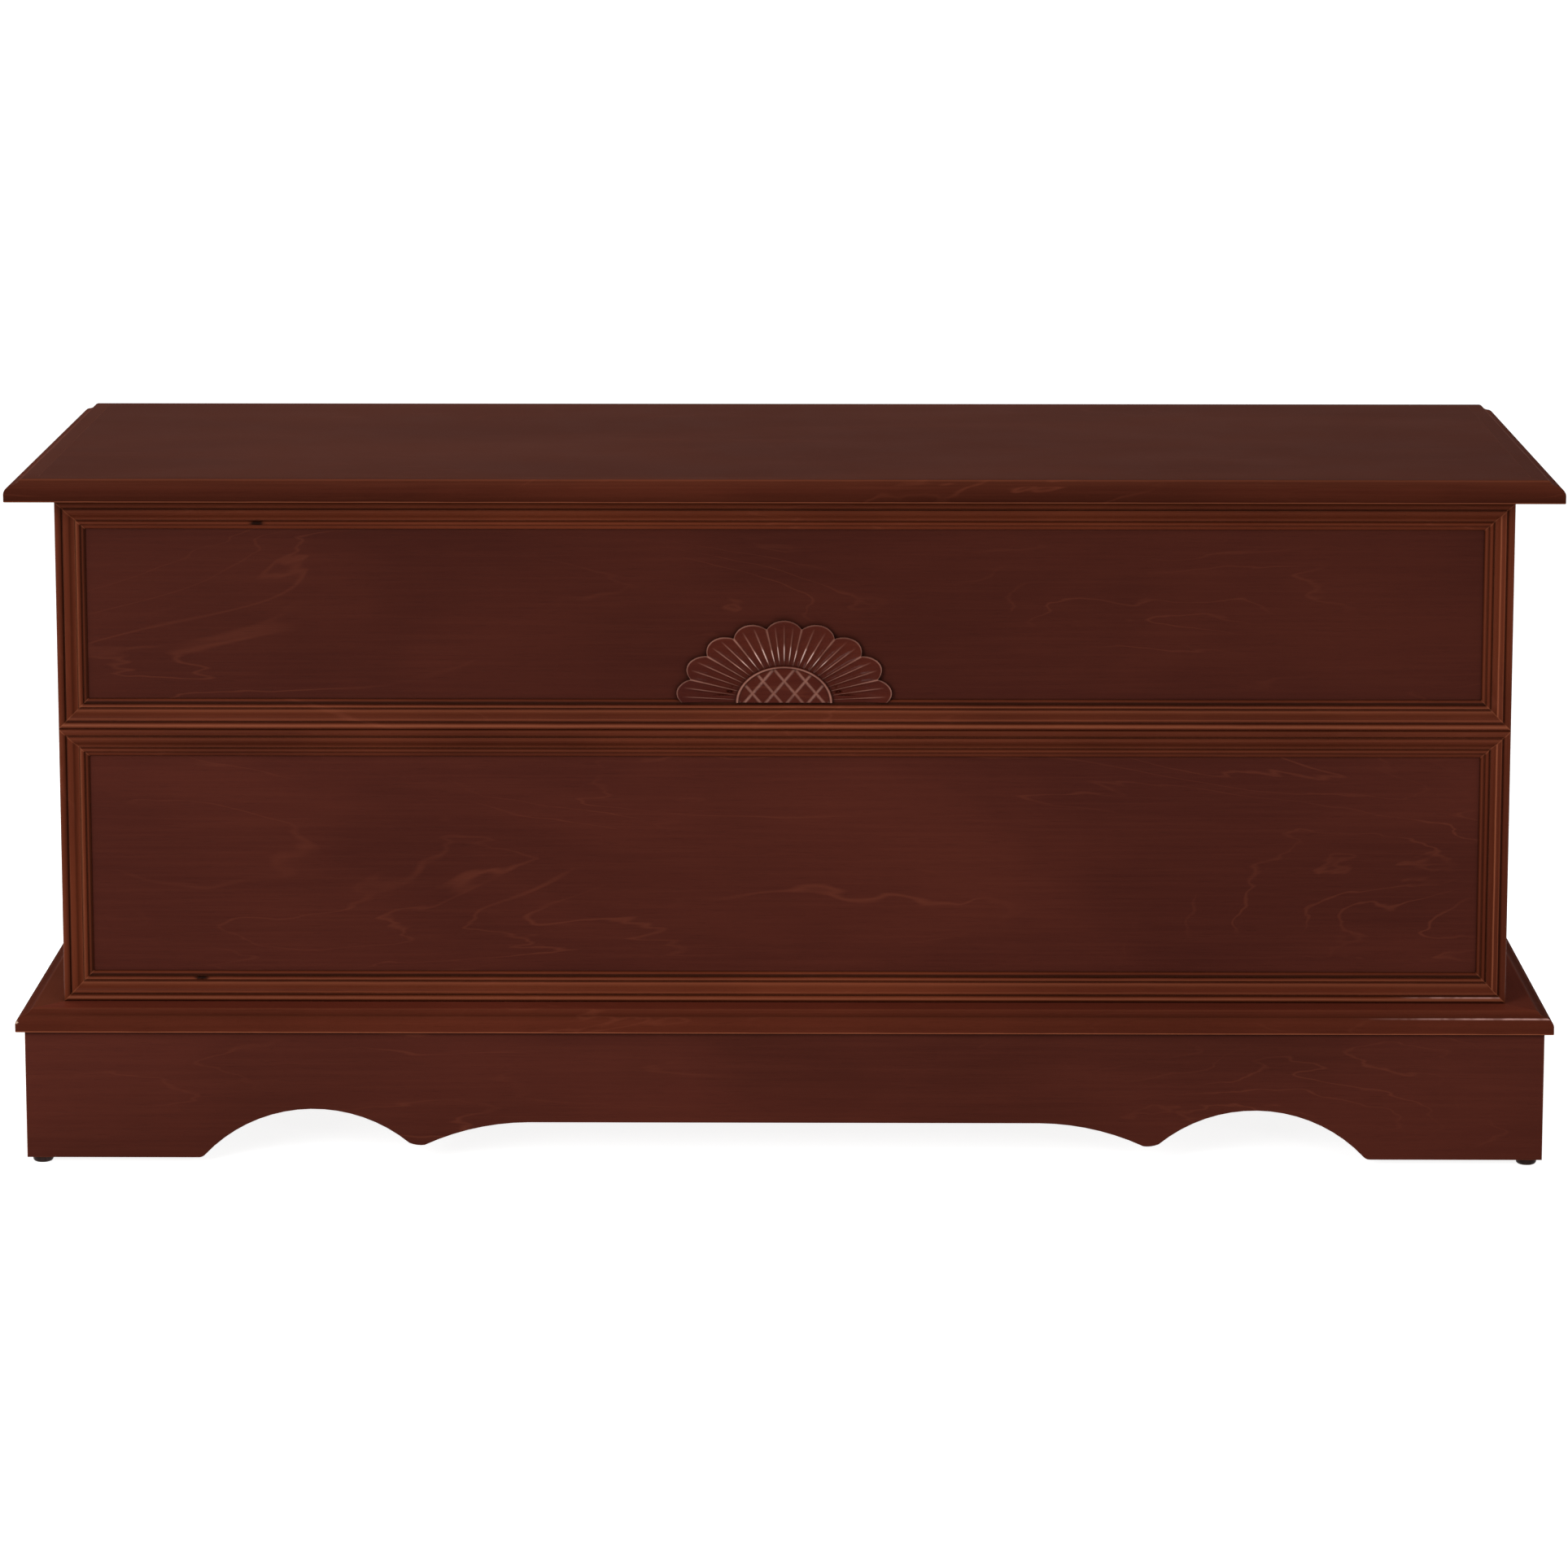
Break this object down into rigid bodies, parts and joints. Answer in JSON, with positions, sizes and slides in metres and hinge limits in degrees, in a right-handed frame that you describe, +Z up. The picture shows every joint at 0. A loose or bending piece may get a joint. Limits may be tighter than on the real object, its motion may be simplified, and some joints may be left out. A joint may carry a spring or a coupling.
{
  "type": "blanket chest",
  "caption": "Low wooden blanket chest with an overhanging hinged lid, framed front panels, carved fan and scalloped plinth.",
  "frame": {"origin": "on the floor under the middle of the closed chest's overall box", "axes": "+X to the right along the front, +Y from the front to the back, +Z up"},
  "size_m": [1.2, 0.4768, 0.5422],
  "materials": {
    "cherry_wood": "satin lacquer over dark red-brown stain",
    "inner_wood": "bare",
    "hinge_metal": "satin plated",
    "glide_metal": "satin",
    "bumper_rubber": "matt"
  },
  "bodies": {
    "chest": {"plinth_front": "cherry_wood", "plinth_left": "cherry_wood", "plinth_right": "cherry_wood", "plinth_back": "inner_wood", "corner_block_front_left": "inner_wood", "corner_block_front_right": "inner_wood", "corner_block_back_left": "inner_wood", "corner_block_back_right": "inner_wood", "glides": "glide_metal", "base_moulding_front": "cherry_wood", "base_moulding_left": "cherry_wood", "base_moulding_right": "cherry_wood", "base_board_back": "inner_wood", "front_board": "cherry_wood", "end_board_left": "cherry_wood", "end_board_right": "cherry_wood", "back_board": "cherry_wood", "bottom_board": "inner_wood", "bottom_bearer": "inner_wood", "lower_frame_bottom_rail": "cherry_wood", "lower_frame_top_rail": "cherry_wood", "lower_frame_left_stile": "cherry_wood", "lower_frame_right_stile": "cherry_wood", "upper_frame_bottom_rail": "cherry_wood", "upper_frame_top_rail": "cherry_wood", "upper_frame_left_stile": "cherry_wood", "upper_frame_right_stile": "cherry_wood", "carved_fan": "cherry_wood", "lid_bumpers": "bumper_rubber", "hinge_chest_leaf_left": "hinge_metal", "hinge_chest_leaf_middle": "hinge_metal", "hinge_chest_leaf_right": "hinge_metal", "hinge_pins": "hinge_metal", "stay_wall_bracket_left": "hinge_metal", "stay_wall_bracket_right": "hinge_metal", "stay_wall_rivet_left": "hinge_metal", "stay_wall_rivet_right": "hinge_metal"},
    "lid": {"lid_panel": "cherry_wood", "lid_edge_front": "cherry_wood", "lid_edge_left": "cherry_wood", "lid_edge_right": "cherry_wood", "hinge_lid_leaf_left": "hinge_metal", "hinge_lid_leaf_middle": "hinge_metal", "hinge_lid_leaf_right": "hinge_metal", "stay_lid_bracket_left": "hinge_metal", "stay_lid_bracket_right": "hinge_metal", "stay_lid_rivet_left": "hinge_metal", "stay_lid_rivet_right": "hinge_metal"},
    "stay_lower_left": {"stay_lower_arm_left": "hinge_metal", "stay_knee_rivet_left": "hinge_metal"},
    "stay_upper_left": {"stay_upper_arm_left": "hinge_metal"},
    "stay_lower_right": {"stay_lower_arm_right": "hinge_metal", "stay_knee_rivet_right": "hinge_metal"},
    "stay_upper_right": {"stay_upper_arm_right": "hinge_metal"}
  },
  "joints": [
    {"name": "lid_hinge", "type": "hinge", "parent": "chest", "child": "lid", "pos_m": [0, 0.2352, 0.5232], "axis": [-1, 0, 0], "range_deg": [0, 95]},
    {"name": "stay_wall_pivot_left", "type": "hinge", "parent": "chest", "child": "stay_lower_left", "pos_m": [-0.5446, 0.1552, 0.38464], "axis": [-1, 0, 0], "range_deg": [0, 95]},
    {"name": "stay_lid_pivot_left", "type": "hinge", "parent": "lid", "child": "stay_upper_left", "pos_m": [-0.5423, 0.07551, 0.5132], "axis": [-1, 0, 0], "range_deg": [-95, 0]},
    {"name": "stay_wall_pivot_right", "type": "hinge", "parent": "chest", "child": "stay_lower_right", "pos_m": [0.5446, 0.1552, 0.38464], "axis": [-1, 0, 0], "range_deg": [0, 95]},
    {"name": "stay_lid_pivot_right", "type": "hinge", "parent": "lid", "child": "stay_upper_right", "pos_m": [0.5423, 0.07551, 0.5132], "axis": [-1, 0, 0], "range_deg": [-95, 0]}
  ],
  "couplings": [
    {"joint": "stay_wall_pivot_left", "follows": "lid_hinge", "ratio": 1},
    {"joint": "stay_lid_pivot_left", "follows": "lid_hinge", "ratio": -1},
    {"joint": "stay_wall_pivot_right", "follows": "lid_hinge", "ratio": 1},
    {"joint": "stay_lid_pivot_right", "follows": "lid_hinge", "ratio": -1}
  ]
}
